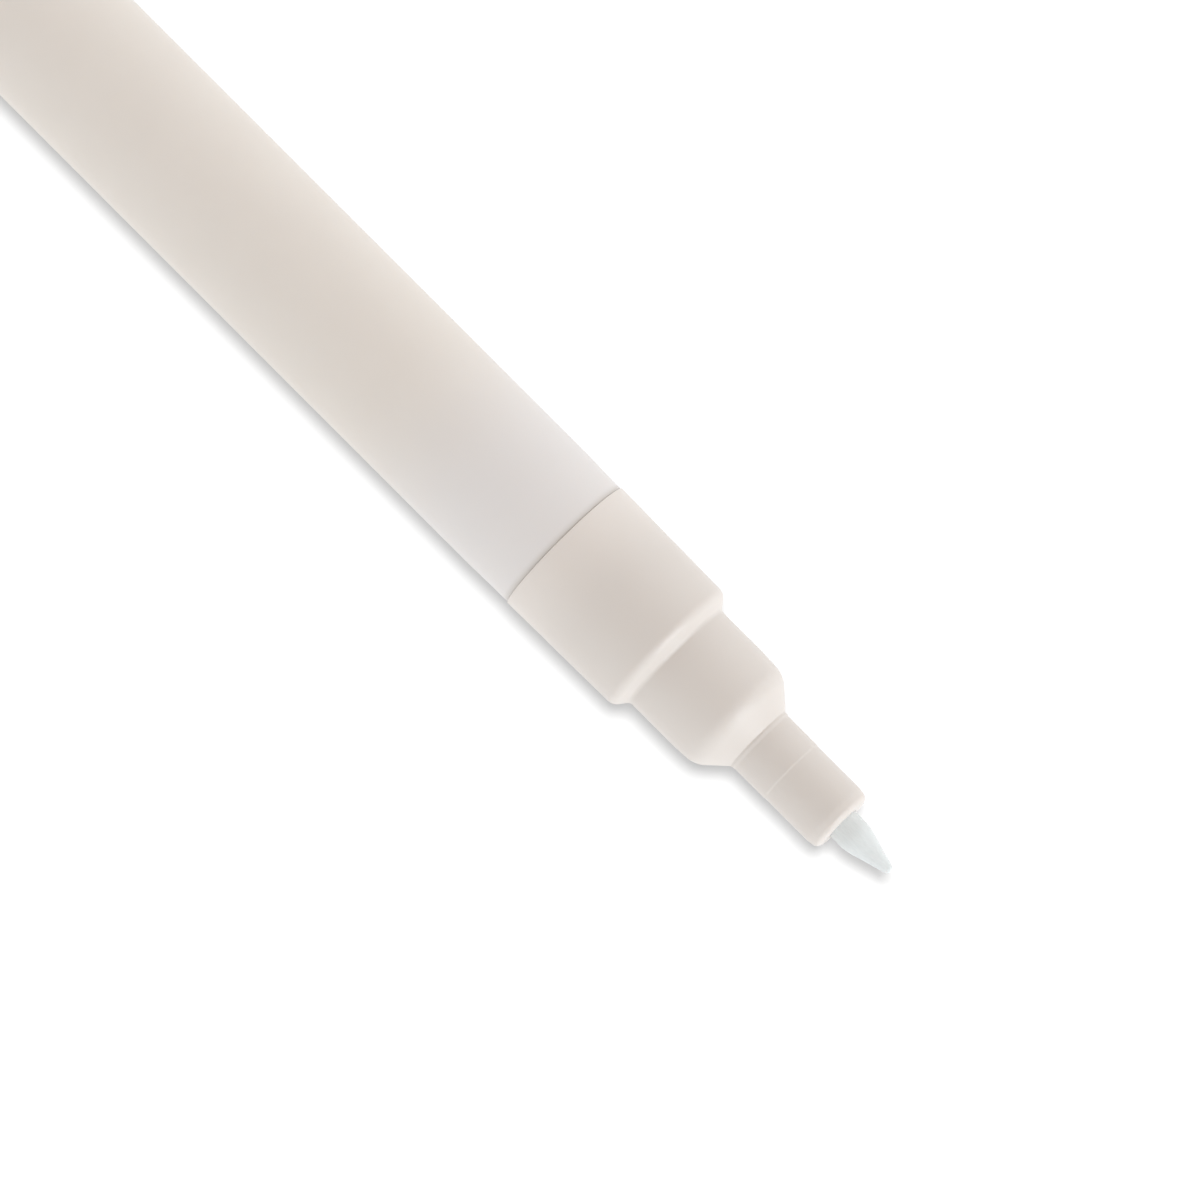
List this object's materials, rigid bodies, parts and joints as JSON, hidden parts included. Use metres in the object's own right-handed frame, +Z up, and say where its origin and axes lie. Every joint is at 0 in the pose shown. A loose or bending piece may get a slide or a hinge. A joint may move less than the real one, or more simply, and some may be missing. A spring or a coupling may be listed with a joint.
{
  "type": "counterfeit detector pen",
  "caption": "Fibre-tip counterfeit detector pen with a round barrel, stepped nose, bullet nib and a clip cap posted on its tail.",
  "frame": {"origin": "on the pen's axis at the foot of the shoulder, where the mouth of the cap stops when the nib is covered", "axes": "+X along the pen towards the nib, +Z up with the pen lying on its side"},
  "size_m": [0.1523, 0.0142, 0.0116],
  "materials": {
    "barrel_plastic": "satin white polypropylene",
    "nose_plastic": "satin white polypropylene",
    "cap_plastic": "satin white polypropylene",
    "liner_plastic": "natural polyethylene",
    "nib_fibre": "bonded fibre, ground to a bullet",
    "core_fibre": "fibre bundle wetted with amber ink",
    "film": "thin film",
    "straw": "thin extruded tube"
  },
  "bodies": {
    "pen": {"barrel": "barrel_plastic", "nose": "nose_plastic", "nib": "nib_fibre", "reservoir_core": "core_fibre", "reservoir_film": "film", "breather_tube": "straw", "tail_plug": "nose_plastic"},
    "cap_liner": {"inner_cap": "liner_plastic"},
    "cap": {"cap_shell": "cap_plastic"},
    "clip": {"clip": "cap_plastic"}
  },
  "joints": [
    {"name": "cap_pull", "type": "slide", "parent": "pen", "child": "cap_liner", "axis": [-1, 0, 0], "range_m": [0, 0.03]},
    {"name": "cap_turn", "type": "hinge", "parent": "cap_liner", "child": "cap", "pos_m": [-0.12685, 0, 0], "axis": [1, 0, 0], "continuous": true},
    {"name": "clip_flex", "type": "hinge", "parent": "cap", "child": "clip", "pos_m": [-0.12685, -0.00428, -0.00238], "axis": [0, 0.4856, -0.8742], "range_deg": [0, 5], "stiffness_Nm_per_rad": 1.3}
  ]
}
